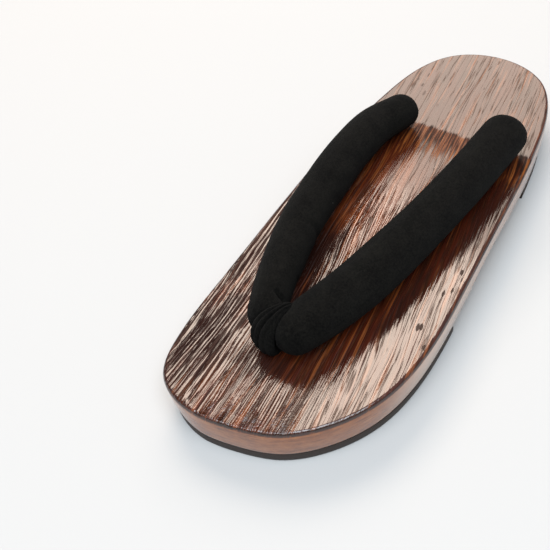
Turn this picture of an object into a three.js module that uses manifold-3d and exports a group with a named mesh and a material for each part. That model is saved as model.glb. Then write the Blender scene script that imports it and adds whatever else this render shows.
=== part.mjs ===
// A left geta sandal: a one-piece wooden base with a scooped arch, a rubber sole pad under
// the forefoot and another under the heel, two padded straps joined in a V, and the toe loop
// that holds the point of the V down in its hole.
//
// Millimetres. X runs from the inner side of the foot to the outer side, Y from toe to heel,
// Z up. The origin is on the floor, under the middle of the sandal.

import * as THREE from 'three';
import { mergeVertices, toCreasedNormals } from 'three/addons/utils/BufferGeometryUtils.js';
import Module from 'manifold-3d';

// Driving dimensions
const LENGTH = 260;
const TOE_HEIGHT = 22.5;
const HEEL_HEIGHT = 26.5;
const RUBBER = 5;
const FIT_GAP = 0.3;
const FOREFOOT_PAD_END = 102.5;
const HEEL_PAD_START = 193;
const ARCH_RISE = 7.5;
const OUTLINE_STEPS = 132;
const CREASE = THREE.MathUtils.degToRad(32);

// Plan outline of the base at its widest level: distance from the toe tip, then how far
// the inner and the outer edge lie from the sandal's middle plane.
const TOE_TIP = { along: 0, across: -14 };
const HEEL_TIP = { along: LENGTH, across: -8.5 };
const OUTLINE = [
  { along: 2.5, inner: -27, outer: 5 },
  { along: 9, inner: -37, outer: 22.8 },
  { along: 23, inner: -43.2, outer: 38 },
  { along: 42, inner: -46.2, outer: 48.5 },
  { along: 68, inner: -48, outer: 52.8 },
  { along: 110, inner: -51, outer: 49.6 },
  { along: 160, inner: -52.7, outer: 43.6 },
  { along: 208, inner: -50, outer: 36.4 },
  { along: 234, inner: -45, outer: 28.8 },
  { along: 250, inner: -35.5, outer: 18.2 },
];

// The side wall leans in towards the floor: share of the wood's height, inset of the wall
const SIDE = [
  { share: 0, inset: 2.7 },
  { share: 0.3, inset: 1.5 },
  { share: 0.65, inset: 0.4 },
  { share: 0.9, inset: 0 },
];
const TOP_EDGE = [
  { drop: 1.4, inset: 0.05 },
  { drop: 0.5, inset: 0.4 },
  { drop: 0, inset: 1.3 },
];
const PAD_FOOT_INSET = 3;
const END_DRAFT = 0.5;

// A shallow bevel along each lower edge of the arch
const BEVEL = { reach: 6, tilt: 20, radius: 74, rise: 7, overrun: 12 };

// Sockets for the strap ends and the toe loop, sunk into the wood from above
const SOCKET_DEPTH = 12;
const CORD_DEPTH = 10;
const REAR_SOCKET = { radius: 4, inner: -30, outer: 24.8, along: 186 };
const FRONT_SOCKET = { radius: 5, across: -4, along: 44 };

// Padded limbs of the strap. lift is the height of the limb's core above the wood, and roll
// turns the section so that the side away from the foot lies lower, in degrees.
const INNER_LIMB = [
  { along: 49, across: -9.8, lift: 12, halfWide: 8, halfHigh: 9, roll: 10 },
  { along: 60, across: -14.5, lift: 12.4, halfWide: 8.6, halfHigh: 9, roll: 10 },
  { along: 76, across: -20.2, lift: 12.2, halfWide: 9.5, halfHigh: 9, roll: 10 },
  { along: 98, across: -26.6, lift: 12, halfWide: 10.3, halfHigh: 9, roll: 10 },
  { along: 125, across: -31, lift: 11.8, halfWide: 11, halfHigh: 9, roll: 10 },
  { along: 153, across: -33.8, lift: 11.3, halfWide: 10.9, halfHigh: 9, roll: 10 },
  { along: 172, across: -33.2, lift: 10.7, halfWide: 10.2, halfHigh: 8.8, roll: 8 },
  { along: 187, across: -28.8, lift: 9.4, halfWide: 8.8, halfHigh: 8.2, roll: 6 },
];
const OUTER_LIMB = [
  { along: 46.5, across: 5.6, lift: 12, halfWide: 10.6, halfHigh: 9.2, roll: 10 },
  { along: 60, across: 10.6, lift: 12.5, halfWide: 11.3, halfHigh: 9.2, roll: 10 },
  { along: 78, across: 15.2, lift: 12.4, halfWide: 11.7, halfHigh: 9, roll: 10 },
  { along: 98, across: 18.4, lift: 12.2, halfWide: 11.7, halfHigh: 9, roll: 10 },
  { along: 125, across: 21.6, lift: 12, halfWide: 11.2, halfHigh: 9, roll: 10 },
  { along: 155, across: 24, lift: 11.8, halfWide: 11, halfHigh: 9, roll: 10 },
  { along: 191, across: 25, lift: 11, halfWide: 11, halfHigh: 9.2, roll: 6 },
];
const LIMB_NOSE = 9;
const LIMB_TAIL = 9;
const LIMB_STATIONS = 22;
const LIMB_SIDES = 24;
const CAP_RINGS = 4;

// Toe loop: a gathered band that climbs out of the front socket, runs back over the joint
// of the two limbs and dips behind it.
const TOE_LOOP = [
  { along: 41, across: -4.5, lift: 0.8, halfWide: 4.4, halfHigh: 3.6 },
  { along: 37.8, across: -5, lift: 6, halfWide: 5.2, halfHigh: 3.2 },
  { along: 38.4, across: -5, lift: 12, halfWide: 5.6, halfHigh: 3 },
  { along: 42.6, across: -4.6, lift: 17, halfWide: 5.6, halfHigh: 2.9 },
  { along: 48, across: -4, lift: 18.2, halfWide: 5.2, halfHigh: 2.8 },
  { along: 52.4, across: -3.4, lift: 15.4, halfWide: 4.4, halfHigh: 2.8 },
  { along: 54, across: -3, lift: 10, halfWide: 3.6, halfHigh: 2.6 },
];
const LOOP_STATIONS = 18;
const LOOP_SIDES = 16;
const LOOP_CAP = 2.4;
const LOOP_STEM_RISE = 3.5;

const wasm = await Module();
wasm.setup();

// Height of the walking surface at a distance from the toe tip
function topHeight(along) {
  return THREE.MathUtils.lerp(TOE_HEIGHT, HEEL_HEIGHT, along / LENGTH);
}

// Place in the part's frame of a point given from the toe tip
function place(across, along, height) {
  return new THREE.Vector3(across, along - LENGTH / 2, height);
}

// Smooth closed curve through points: a periodic cubic spline with chord-length knots.
// Its slopes solve a small banded system, which relaxation settles in a few passes.
function smoothClosed(points, steps) {
  const count = points.length;
  const at = (i) => points[(i + count) % count];
  const chord = points.map((p, i) => p.distanceTo(at(i + 1)));
  const gap = (i) => chord[(i + count) % count];
  const slopes = points.map(() => new THREE.Vector2());
  for (let pass = 0; pass < 60; pass += 1) {
    for (let i = 0; i < count; i += 1) {
      const before = gap(i - 1);
      const after = gap(i);
      const pull = at(i).clone().sub(at(i - 1)).multiplyScalar(3 / before ** 2);
      pull.addScaledVector(at(i + 1).clone().sub(at(i)), 3 / after ** 2);
      pull.addScaledVector(slopes[(i - 1 + count) % count], -1 / before);
      pull.addScaledVector(slopes[(i + 1) % count], -1 / after);
      slopes[i] = pull.divideScalar(2 / before + 2 / after);
    }
  }
  const fine = [];
  const finePerChord = 40;
  for (let i = 0; i < count; i += 1) {
    for (let k = 0; k < finePerChord; k += 1) {
      const t = k / finePerChord;
      const point = at(i).clone().multiplyScalar((1 + 2 * t) * (1 - t) ** 2);
      point.addScaledVector(at(i + 1), t * t * (3 - 2 * t));
      point.addScaledVector(slopes[i], gap(i) * t * (1 - t) ** 2);
      point.addScaledVector(slopes[(i + 1) % count], gap(i) * t * t * (t - 1));
      fine.push(point);
    }
  }
  return evenlySpaced(fine, steps);
}

// The same closed line with its points evenly spaced
function evenlySpaced(line, steps) {
  const run = [0];
  for (let i = 0; i < line.length; i += 1) {
    run.push(run[i] + line[i].distanceTo(line[(i + 1) % line.length]));
  }
  const total = run[line.length];
  const even = [];
  let i = 0;
  for (let step = 0; step < steps; step += 1) {
    const target = (total * step) / steps;
    while (run[i + 1] < target) i += 1;
    const t = (target - run[i]) / (run[i + 1] - run[i]);
    even.push(line[i].clone().lerp(line[(i + 1) % line.length], t));
  }
  return even;
}

function outlineKnots() {
  const tip = new THREE.Vector2(TOE_TIP.across, TOE_TIP.along);
  const heel = new THREE.Vector2(HEEL_TIP.across, HEEL_TIP.along);
  const outer = OUTLINE.map((row) => new THREE.Vector2(row.outer, row.along));
  const inner = OUTLINE.map((row) => new THREE.Vector2(row.inner, row.along));
  return [tip, ...outer, heel, ...inner.reverse()];
}

const OUTLINE_CURVE = smoothClosed(outlineKnots(), OUTLINE_STEPS);

// The outline moved inwards along its normals. endShare is what the toe and heel ends get
// of an inset that the long sides get in full.
function insetOutline(inset, endShare = 1) {
  const count = OUTLINE_CURVE.length;
  return OUTLINE_CURVE.map((point, i) => {
    const before = OUTLINE_CURVE[(i - 1 + count) % count];
    const after = OUTLINE_CURVE[(i + 1) % count];
    const tangent = after.clone().sub(before).normalize();
    const own = inset * THREE.MathUtils.lerp(endShare, 1, Math.abs(tangent.y));
    return new THREE.Vector2(point.x - tangent.y * own, point.y + tangent.x * own);
  });
}

// Closed body from rings of equal point count, each given as an array of Vector3, with the
// first ring's cap facing back along the loft and the last ring's cap facing on.
function loft(rings, firstCap, lastCap) {
  const sides = rings[0].length;
  const positions = rings.flat();
  const index = [];
  for (let r = 0; r + 1 < rings.length; r += 1) {
    for (let s = 0; s < sides; s += 1) {
      const a = r * sides + s;
      const b = r * sides + ((s + 1) % sides);
      index.push(a, b, b + sides, a, b + sides, a + sides);
    }
  }
  const last = (rings.length - 1) * sides;
  firstCap(positions, 0).forEach(([a, b, c]) => index.push(a, c, b));
  lastCap(positions, last).forEach(([a, b, c]) => index.push(a, b, c));
  const geometry = new THREE.BufferGeometry();
  const coords = positions.flatMap((p) => p.toArray());
  geometry.setAttribute('position', new THREE.Float32BufferAttribute(coords, 3));
  geometry.setIndex(index);
  return geometry;
}

// Flat cap over a plan ring, as index triples that face up
function planCap(sides) {
  return (positions, start) => {
    const contour = positions.slice(start, start + sides).map((p) => new THREE.Vector2(p.x, p.y));
    return THREE.ShapeUtils.triangulateShape(contour, []).map((face) => face.map((i) => i + start));
  };
}

// Pointed cap: a fan from a pole beside the ring
function poleCap(sides, pole) {
  return (positions, start) => {
    const tip = positions.push(pole) - 1;
    const faces = [];
    for (let s = 0; s < sides; s += 1) faces.push([start + s, start + ((s + 1) % sides), tip]);
    return faces;
  };
}

function toManifold(geometry) {
  const bare = geometry.clone();
  bare.deleteAttribute('normal');
  bare.deleteAttribute('uv');
  const merged = mergeVertices(bare, 1e-4);
  return new wasm.Manifold(new wasm.Mesh({
    numProp: 3,
    vertProperties: new Float32Array(merged.attributes.position.array),
    triVerts: new Uint32Array(merged.index.array),
  }));
}

// Mesh of a solid, shaded smooth up to the crease angle
function toGeometry(solid) {
  const mesh = solid.getMesh();
  const geometry = new THREE.BufferGeometry();
  geometry.setAttribute('position', new THREE.BufferAttribute(mesh.vertProperties, 3));
  geometry.setIndex(new THREE.BufferAttribute(mesh.triVerts, 1));
  return mergeVertices(toCreasedNormals(geometry, CREASE));
}

// Upright round bar between two heights
function upright(across, along, radius, low, high, sides) {
  const bar = new THREE.CylinderGeometry(radius, radius, high - low, sides);
  bar.rotateX(Math.PI / 2);
  const centre = place(across, along, (low + high) / 2);
  bar.translate(centre.x, centre.y, centre.z);
  return toManifold(bar);
}

// Plan-shaped body with its walls set by levels of height and inset
function planBody(levels) {
  const rings = levels.map((level) => insetOutline(level.inset, level.endShare)
    .map((p) => place(p.x, p.y, level.height(p.y))));
  const cap = planCap(OUTLINE_STEPS);
  return toManifold(loft(rings, cap, cap));
}

// Bar along X whose section is a circular segment standing on its chord
function segmentBar(radius, rise, reach) {
  const half = Math.asin(Math.sqrt(rise * (2 * radius - rise)) / radius);
  const shape = new THREE.Shape();
  shape.absarc(0, rise - radius, radius, Math.PI / 2 - half, Math.PI / 2 + half, false);
  shape.lineTo(-radius * Math.sin(half), -RUBBER);
  shape.lineTo(radius * Math.sin(half), -RUBBER);
  const bar = new THREE.ExtrudeGeometry(shape, { depth: reach, bevelEnabled: false, curveSegments: 28 });
  // The section's upright becomes Z and the bar runs along X
  bar.rotateX(Math.PI / 2);
  bar.rotateZ(Math.PI / 2);
  return bar;
}

const ARCH_MIDDLE = (FOREFOOT_PAD_END + HEEL_PAD_START) / 2;

function archScoop() {
  const halfChord = (HEEL_PAD_START - FOREFOOT_PAD_END) / 2;
  const radius = (halfChord ** 2 + ARCH_RISE ** 2) / (2 * ARCH_RISE);
  const reach = LENGTH / 2;
  const bar = segmentBar(radius, ARCH_RISE, reach);
  const start = place(-reach / 2, ARCH_MIDDLE, RUBBER);
  bar.translate(start.x, start.y, start.z);
  return toManifold(bar);
}

// One edge bevel of the arch. side is 1 at the outer edge and -1 at the inner edge.
function archBevel(side, edge) {
  const bar = segmentBar(BEVEL.radius, BEVEL.rise, BEVEL.reach + BEVEL.overrun);
  bar.translate(0, 0, -BEVEL.rise);
  bar.rotateY(THREE.MathUtils.degToRad(-BEVEL.tilt));
  if (side < 0) bar.rotateZ(Math.PI);
  const start = place(edge - side * BEVEL.reach, ARCH_MIDDLE, RUBBER + ARCH_RISE);
  bar.translate(start.x, start.y, start.z);
  return toManifold(bar);
}

function edgeAt(along, side) {
  const row = OUTLINE_CURVE.filter((p) => Math.sign(p.x) === side)
    .reduce((best, p) => (Math.abs(p.y - along) < Math.abs(best.y - along) ? p : best));
  return row.x - side * SIDE[1].inset;
}

function makeBase() {
  const walls = SIDE.map((row) => ({
    inset: row.inset,
    endShare: END_DRAFT,
    height: (along) => THREE.MathUtils.lerp(RUBBER, topHeight(along), row.share),
  }));
  const edge = TOP_EDGE.map((row) => ({
    inset: row.inset,
    height: (along) => topHeight(along) - row.drop,
  }));
  let solid = planBody([...walls, ...edge]).subtract(archScoop());
  [-1, 1].forEach((side) => {
    solid = solid.subtract(archBevel(side, edgeAt(ARCH_MIDDLE, side)));
  });
  socketPlaces().forEach(({ across, along, radius }) => {
    const floor = topHeight(along) - SOCKET_DEPTH;
    solid = solid.subtract(upright(across, along, radius, floor, floor + 2 * SOCKET_DEPTH, 24));
  });
  return solid;
}

function socketPlaces() {
  const { inner, outer, along, radius } = REAR_SOCKET;
  return [{ across: inner, along, radius }, { across: outer, along, radius }, FRONT_SOCKET];
}

// Rubber pad: the part of the sole's plan between two distances from the toe tip
function makePad(from, to) {
  const sheet = planBody([
    { inset: PAD_FOOT_INSET, endShare: END_DRAFT, height: () => 0 },
    { inset: SIDE[0].inset, endShare: END_DRAFT, height: () => RUBBER * 0.25 },
    { inset: SIDE[0].inset, endShare: END_DRAFT, height: () => RUBBER - FIT_GAP },
  ]);
  const block = new THREE.BoxGeometry(LENGTH, to - from, LENGTH);
  const centre = place(0, (from + to) / 2, 0);
  block.translate(centre.x, centre.y, centre.z);
  return sheet.intersect(toManifold(block));
}

// Value of every column of a table at a share of its whole run, on a smooth open curve
function tableCurve(rows) {
  const keys = Object.keys(rows[0]);
  const line = (columns) => new THREE.CatmullRomCurve3(
    rows.map((row) => new THREE.Vector3(...columns.map((key) => row[key] ?? 0))),
    false,
    'chordal',
  );
  const core = line(['across', 'along', 'lift']);
  const size = line([...keys.filter((key) => key.startsWith('half')), 'roll']);
  return (share) => {
    const place3 = core.getPoint(share);
    const sizes = size.getPoint(share);
    return {
      centre: place(place3.x, place3.y, topHeight(place3.y) + place3.z),
      halfWide: sizes.x,
      halfHigh: sizes.y,
      roll: THREE.MathUtils.degToRad(sizes.z),
    };
  };
}

// Tube through the rows of a table, with rounded ends. sideways gives the direction of the
// section's width from the core's direction, which rollSide then turns by the table's roll.
// grow widens the section all round.
function sweep({ rows, stations, sides, startCap, endCap, sideways, rollSide = 1, grow = 0 }) {
  const sample = tableCurve(rows);
  const step = 1e-3;
  const ring = (share, push, shrink) => {
    const here = sample(share);
    const ahead = sample(Math.min(share + step, 1)).centre;
    const behind = sample(Math.max(share - step, 0)).centre;
    const along = ahead.sub(behind).normalize();
    const wide = sideways(along).applyAxisAngle(along, rollSide * here.roll);
    const high = wide.clone().cross(along);
    const centre = here.centre.clone().addScaledVector(along, push);
    const points = [];
    for (let s = 0; s < sides; s += 1) {
      const angle = (2 * Math.PI * s) / sides;
      points.push(centre.clone()
        .addScaledVector(wide, Math.cos(angle) * (here.halfWide + grow) * shrink)
        .addScaledVector(high, -Math.sin(angle) * (here.halfHigh + grow) * shrink));
    }
    return { points, pole: centre };
  };
  const rings = [];
  for (let c = CAP_RINGS; c > 0; c -= 1) {
    const angle = (c / (CAP_RINGS + 0.6)) * (Math.PI / 2);
    rings.push(ring(0, -Math.sin(angle) * (startCap + grow), Math.cos(angle)));
  }
  for (let i = 0; i <= stations; i += 1) rings.push(ring(i / stations, 0, 1));
  for (let c = 1; c <= CAP_RINGS; c += 1) {
    const angle = (c / (CAP_RINGS + 0.6)) * (Math.PI / 2);
    rings.push(ring(1, Math.sin(angle) * (endCap + grow), Math.cos(angle)));
  }
  const first = ring(0, -(startCap + grow), 0).pole;
  const last = ring(1, endCap + grow, 0).pole;
  return loft(rings.map((r) => r.points), poleCap(sides, first), poleCap(sides, last));
}

function makeLimb(rows, socketAcross, rollSide) {
  const level = (along) => new THREE.Vector3(0, 0, 1).cross(along).normalize();
  const tube = toManifold(sweep({
    rows,
    stations: LIMB_STATIONS,
    sides: LIMB_SIDES,
    startCap: LIMB_NOSE,
    endCap: LIMB_TAIL,
    sideways: level,
    rollSide,
  }));
  const { along, radius } = REAR_SOCKET;
  const wood = topHeight(along);
  const lift = rows[rows.length - 1].lift;
  const cord = upright(socketAcross, along, radius - FIT_GAP, wood - CORD_DEPTH, wood + lift * 0.6, 16);
  return tube.add(cord);
}

function loopBand(grow) {
  return toManifold(sweep({
    rows: TOE_LOOP,
    stations: LOOP_STATIONS,
    sides: LOOP_SIDES,
    startCap: LOOP_CAP,
    endCap: LOOP_CAP,
    sideways: () => new THREE.Vector3(-1, 0, 0),
    grow,
  }));
}

// Cord of the toe loop, standing in the front socket
function loopStem(grow) {
  const { across, along, radius } = FRONT_SOCKET;
  const wood = topHeight(along);
  const top = wood + LOOP_STEM_RISE + grow;
  return upright(across, along, radius - FIT_GAP + grow, wood - CORD_DEPTH, top, 20);
}

function makeStraps() {
  return makeLimb(INNER_LIMB, REAR_SOCKET.inner, -1)
    .add(makeLimb(OUTER_LIMB, REAR_SOCKET.outer, 1))
    .subtract(loopBand(FIT_GAP))
    .subtract(loopStem(FIT_GAP));
}

// The loop's lowest stretch is trimmed clear of the wood, and its cord goes on into the socket
function makeToeLoop() {
  const above = new THREE.BoxGeometry(LENGTH, LENGTH, LENGTH);
  const floor = topHeight(TOE_LOOP[TOE_LOOP.length - 1].along) + FIT_GAP;
  above.translate(0, 0, floor + LENGTH / 2);
  return loopBand(0).intersect(toManifold(above)).add(loopStem(0));
}

const PIECES = [
  { name: 'base', make: makeBase, color: 0x6b3d22, roughness: 0.3 },
  { name: 'forefoot_pad', make: () => makePad(-1, FOREFOOT_PAD_END), color: 0x2c2827, roughness: 0.85 },
  { name: 'heel_pad', make: () => makePad(HEEL_PAD_START, LENGTH + 1), color: 0x2c2827, roughness: 0.85 },
  { name: 'straps', make: makeStraps, color: 0x161615, roughness: 0.95 },
  { name: 'toe_loop', make: makeToeLoop, color: 0x191817, roughness: 0.95 },
];

const geta = new THREE.Group();
PIECES.forEach(({ name, make, color, roughness }) => {
  const material = new THREE.MeshStandardMaterial({ color, roughness, metalness: 0 });
  const mesh = new THREE.Mesh(toGeometry(make()), material);
  mesh.name = name;
  geta.add(mesh);
});

export default geta;
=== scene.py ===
import math

import bmesh
import bpy
import numpy as np
from mathutils import Matrix, Vector


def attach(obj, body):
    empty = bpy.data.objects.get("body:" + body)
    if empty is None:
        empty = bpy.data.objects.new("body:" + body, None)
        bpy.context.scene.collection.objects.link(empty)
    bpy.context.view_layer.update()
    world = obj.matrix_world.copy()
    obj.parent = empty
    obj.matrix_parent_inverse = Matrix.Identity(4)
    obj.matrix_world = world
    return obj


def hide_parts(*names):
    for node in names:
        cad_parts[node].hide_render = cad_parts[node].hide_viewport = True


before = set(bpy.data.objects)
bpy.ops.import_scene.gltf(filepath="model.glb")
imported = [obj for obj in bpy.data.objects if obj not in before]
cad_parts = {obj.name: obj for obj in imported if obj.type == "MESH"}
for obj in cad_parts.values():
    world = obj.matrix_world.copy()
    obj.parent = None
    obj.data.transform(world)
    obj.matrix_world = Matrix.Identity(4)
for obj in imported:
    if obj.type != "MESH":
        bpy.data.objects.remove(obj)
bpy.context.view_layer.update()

MM = 0.001

# Sizes of the sandal in millimetres, as along from the toe tip and across from the middle plane
LENGTH = 260.0
HALF_LENGTH = LENGTH / 2
TOE_HEIGHT = 22.5
HEEL_HEIGHT = 26.5
RUBBER = 5.0
PAD_TOP = 4.7
FOREFOOT_PAD_END = 102.5
HEEL_PAD_START = 193.0
ARCH_RISE = 7.5
ARCH_MIDDLE = (FOREFOOT_PAD_END + HEEL_PAD_START) / 2
END_DRAFT = 0.5
TOE_TIP = (-14.0, 0.0)
HEEL_TIP = (-8.5, LENGTH)
# along, inner edge, outer edge
OUTLINE = [
    (2.5, -27.0, 5.0),
    (9.0, -37.0, 22.8),
    (23.0, -43.2, 38.0),
    (42.0, -46.2, 48.5),
    (68.0, -48.0, 52.8),
    (110.0, -51.0, 49.6),
    (160.0, -52.7, 43.6),
    (208.0, -50.0, 36.4),
    (234.0, -45.0, 28.8),
    (250.0, -35.5, 18.2),
]
# drop below the walking surface, inset from the widest outline
TOP_EDGE = [(0.0, 1.35), (0.18, 0.9), (0.42, 0.55), (0.8, 0.26), (1.5, 0.06)]
WALL_SHARES = [0.9, 0.8, 0.68, 0.56, 0.44, 0.32, 0.2, 0.1, 0.045]
# lift above the underside, inset added to the wall's own
FOOT_EDGE = [(0.35, 0.02), (0.1, 0.12), (0.0, 0.38)]
WALL_DRAFT = 2.7
DRAFT_START = 0.9
DRAFT_CURVE = 1.55
BEVEL_REACH = 6.0
BEVEL_START = 1.5
BEVEL_TILT = math.radians(20)
BEVEL_RADIUS = 74.0

# along, across, lift of the core, half width, half height, roll
INNER_LIMB = [
    (49, -9.8, 12, 8, 9, 10),
    (60, -14.5, 12.4, 8.6, 9, 10),
    (76, -20.2, 12.2, 9.5, 9, 10),
    (98, -26.6, 12, 10.3, 9, 10),
    (125, -31, 11.8, 11, 9, 10),
    (153, -33.8, 11.3, 10.9, 9, 10),
    (172, -33.2, 10.7, 10.6, 8.8, 8),
    (187, -28.8, 9.6, 9.4, 8.3, 6),
]
OUTER_LIMB = [
    (46.5, 5.6, 12, 10.6, 9.2, 10),
    (60, 10.6, 12.5, 11.3, 9.2, 10),
    (78, 15.2, 12.4, 11.7, 9, 10),
    (98, 18.4, 12.2, 11.7, 9, 10),
    (125, 21.6, 12, 11.2, 9, 10),
    (155, 24, 11.8, 11, 9, 10),
    (191, 25, 11, 11, 9.2, 6),
]
LIMB_CAP = 9.0
# rows, side that the limb leans to, length of its rear cap, bluntness of that cap
LIMBS = [(INNER_LIMB, -1, LIMB_CAP, 2.6), (OUTER_LIMB, 1, LIMB_CAP + 0.8, 2.8)]
# along, across, lift, half width, half thickness
TOE_LOOP = [
    (54.5, 0.4, 12.2, 1.6, 1.8),
    (52.6, -0.1, 17.2, 1.8, 2.2),
    (48.4, -0.6, 19.8, 2.6, 2.6),
    (43.6, -2.4, 18.4, 4.6, 2.8),
    (40.0, -4.1, 14.1, 5.9, 2.9),
    (38.2, -4.1, 8.4, 5.9, 2.9),
    (39.6, -4.2, 3.4, 5.2, 2.7),
    (42.6, -4.0, -0.2, 4.2, 2.8),
]
LOOP_HEART = (-3.0, -82.0, 30.0)
CORD_DEPTH = 9.8
# across, along, radius, height above the wood
REAR_CORDS = [(-30.0, 186.0, 3.7, 6.0), (24.8, 186.0, 3.7, 6.0)]
FRONT_CORD = (-4.0, 44.0, 4.7, 3.2)


# Node helpers


def rgba(value):
    """A colour of three shares as the four that a colour socket takes; a socket stays one."""
    return (*value, 1.0) if isinstance(value, tuple) else value


class Nodes:
    """Short hand for building a shader or geometry node tree."""

    def __init__(self, tree):
        self.tree = tree

    def new(self, kind, **props):
        made = self.tree.nodes.new(kind)
        for key, value in props.items():
            setattr(made, key, value)
        return made

    def feed(self, socket, value):
        if isinstance(value, bpy.types.NodeSocket):
            self.tree.links.new(value, socket)
        elif value is not None:
            socket.default_value = value

    def math(self, operation, a, b=None):
        made = self.new("ShaderNodeMath", operation=operation)
        self.feed(made.inputs[0], a)
        self.feed(made.inputs[1], b)
        return made.outputs[0]

    def chain(self, operation, first, *others):
        for value in others:
            first = self.math(operation, first, value)
        return first

    def add(self, *values):
        return self.chain("ADD", *values)

    def mul(self, *values):
        return self.chain("MULTIPLY", *values)

    def most(self, *values):
        return self.chain("MAXIMUM", *values)

    def sub(self, a, b):
        return self.math("SUBTRACT", a, b)

    def absolute(self, a):
        return self.math("ABSOLUTE", a)

    def swing(self, pattern, reach):
        """A pattern of 0 to 1 as a push of up to half the reach to either side."""
        return self.mul(self.sub(pattern, 0.5), reach)

    def vmath(self, operation, a, b=None):
        made = self.new("ShaderNodeVectorMath", operation=operation)
        self.feed(made.inputs[0], a)
        self.feed(made.inputs[3 if operation == "SCALE" else 1], b)
        return made.outputs[1 if operation == "LENGTH" else 0]

    def split(self, vector):
        made = self.new("ShaderNodeSeparateXYZ")
        self.feed(made.inputs[0], vector)
        return made.outputs[0], made.outputs[1], made.outputs[2]

    def vec(self, x, y, z):
        made = self.new("ShaderNodeCombineXYZ")
        for socket, value in zip(made.inputs, (x, y, z)):
            self.feed(socket, value)
        return made.outputs[0]

    def in_mm(self, place):
        return self.split(self.vmath("SCALE", place, 1 / MM))

    def oval(self, x, y, centre, reach):
        """Distance from an oval spot's centre, 1 at its edge."""
        across, along = (self.mul(self.sub(v, c), 1 / r) for v, c, r in zip((x, y), centre, reach))
        return self.vmath("LENGTH", self.vec(across, along, 0.0))

    def noise(self, vector, scale=1.0, detail=2, rough=0.5):
        made = self.new("ShaderNodeTexNoise")
        for name, value in (("Vector", vector), ("Scale", scale), ("Detail", detail), ("Roughness", rough)):
            self.feed(made.inputs[name], value)
        return made.outputs[0]

    def streaks(self, *axes, detail=2, rough=0.5):
        """Noise drawn out: an axis is a place with its fineness, or a number for another pattern."""
        place = [self.mul(*axis) if isinstance(axis, tuple) else axis for axis in axes]
        return self.noise(self.vec(*place), 1.0, detail, rough)

    def voronoi(self, vector, scale=1.0):
        made = self.new("ShaderNodeTexVoronoi")
        self.feed(made.inputs["Vector"], vector)
        self.feed(made.inputs["Scale"], scale)
        return made.outputs["Distance"], self.split(made.outputs["Color"])[0]

    def step(self, value, low, high, out_low=0.0, out_high=1.0):
        made = self.new("ShaderNodeMapRange", interpolation_type="SMOOTHSTEP")
        for socket, given in zip(made.inputs, (value, low, high, out_low, out_high)):
            self.feed(socket, given)
        return made.outputs[0]

    def fall(self, value, low, high):
        """1 up to low, 0 from high."""
        return self.step(value, low, high, 1.0, 0.0)

    def mix(self, factor, a, b):
        made = self.new("ShaderNodeMix", data_type="RGBA")
        self.feed(made.inputs[0], factor)
        self.feed(made.inputs[6], rgba(a))
        self.feed(made.inputs[7], rgba(b))
        return made.outputs[2]

    def blend(self, factor, a, b):
        made = self.new("ShaderNodeMix", data_type="FLOAT")
        self.feed(made.inputs[0], factor)
        self.feed(made.inputs[2], a)
        self.feed(made.inputs[3], b)
        return made.outputs[0]

    def ramp(self, factor, tones):
        made = self.new("ShaderNodeValToRGB")
        self.feed(made.inputs[0], factor)
        points = made.color_ramp.elements
        while len(points) < len(tones):
            points.new(0.5)
        for point, (place, colour) in zip(points, tones):
            point.position = place
            point.color = rgba(colour)
        return made.outputs[0]

    def bump(self, height, strength, distance):
        made = self.new("ShaderNodeBump")
        for name, value in (("Strength", strength), ("Distance", distance * MM), ("Height", height)):
            self.feed(made.inputs[name], value)
        return made.outputs[0]


def new_material(name):
    material = bpy.data.materials.new(name)
    material.use_nodes = True
    tree = material.node_tree
    tree.nodes.clear()
    n = Nodes(tree)
    shader = n.new("ShaderNodeBsdfPrincipled")
    output = n.new("ShaderNodeOutputMaterial")
    n.feed(output.inputs[0], shader.outputs[0])
    return material, n, shader


def set_plain(shader, values):
    for name, value in values.items():
        shader.inputs[name].default_value = value


def object_mm(n):
    return n.in_mm(n.new("ShaderNodeTexCoord").outputs["Object"])


def geometry_tree(name, sizes):
    """A tree with named sizes: the tree, its short hand, its inputs and the sizes' identifiers."""
    tree = bpy.data.node_groups.new(name, "GeometryNodeTree")
    face = tree.interface
    face.new_socket("Geometry", in_out="INPUT", socket_type="NodeSocketGeometry")
    known = {}
    for size in sizes:
        known[size] = face.new_socket(size, in_out="INPUT", socket_type="NodeSocketFloat").identifier
    face.new_socket("Geometry", in_out="OUTPUT", socket_type="NodeSocketGeometry")
    n = Nodes(tree)
    return tree, n, n.new("NodeGroupInput").outputs, known


def end_tree(n, geometry, material, selection=None):
    """Realize Instances and Set Material, the last nodes of every tree."""
    real = n.new("GeometryNodeRealizeInstances")
    n.feed(real.inputs[0], geometry)
    paint = n.new("GeometryNodeSetMaterial")
    n.feed(paint.inputs["Geometry"], real.outputs[0])
    n.feed(paint.inputs["Material"], material)
    n.feed(paint.inputs["Selection"], selection)
    n.feed(n.new("NodeGroupOutput").inputs["Geometry"], paint.outputs[0])


# Wood grain, as fields over the wood in millimetres

RIDGE_PITCH = 0.85
RIDGE_GROWTH = 0.022
RIDGE_HEART = -5.0
GRAIN_LEAN = 0.19
TOE_BEND_START = -60.0


def top_of(n, y):
    """Height of the walking surface at y."""
    return n.add(n.mul(y, (HEEL_HEIGHT - TOE_HEIGHT) / LENGTH), (HEEL_HEIGHT + TOE_HEIGHT) / 2)


def grain_run(n, x, y, z):
    """Distance across the grain: it leans outwards towards the toe and wanders a little."""
    lean = n.mul(y, GRAIN_LEAN, n.add(n.mul(x, 0.006), 1.0))
    front = n.math("MINIMUM", n.sub(y, TOE_BEND_START), 0.0)
    across = n.add(x, lean, n.mul(front, front, 0.00083))
    drift = n.streaks((x, 0.03), (y, 0.008), (z, 0.03))
    wander = n.streaks((x, 0.12), (y, 0.022), (z, 0.1))
    return n.add(across, n.swing(drift, 10), n.swing(wander, 1.1))


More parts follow.
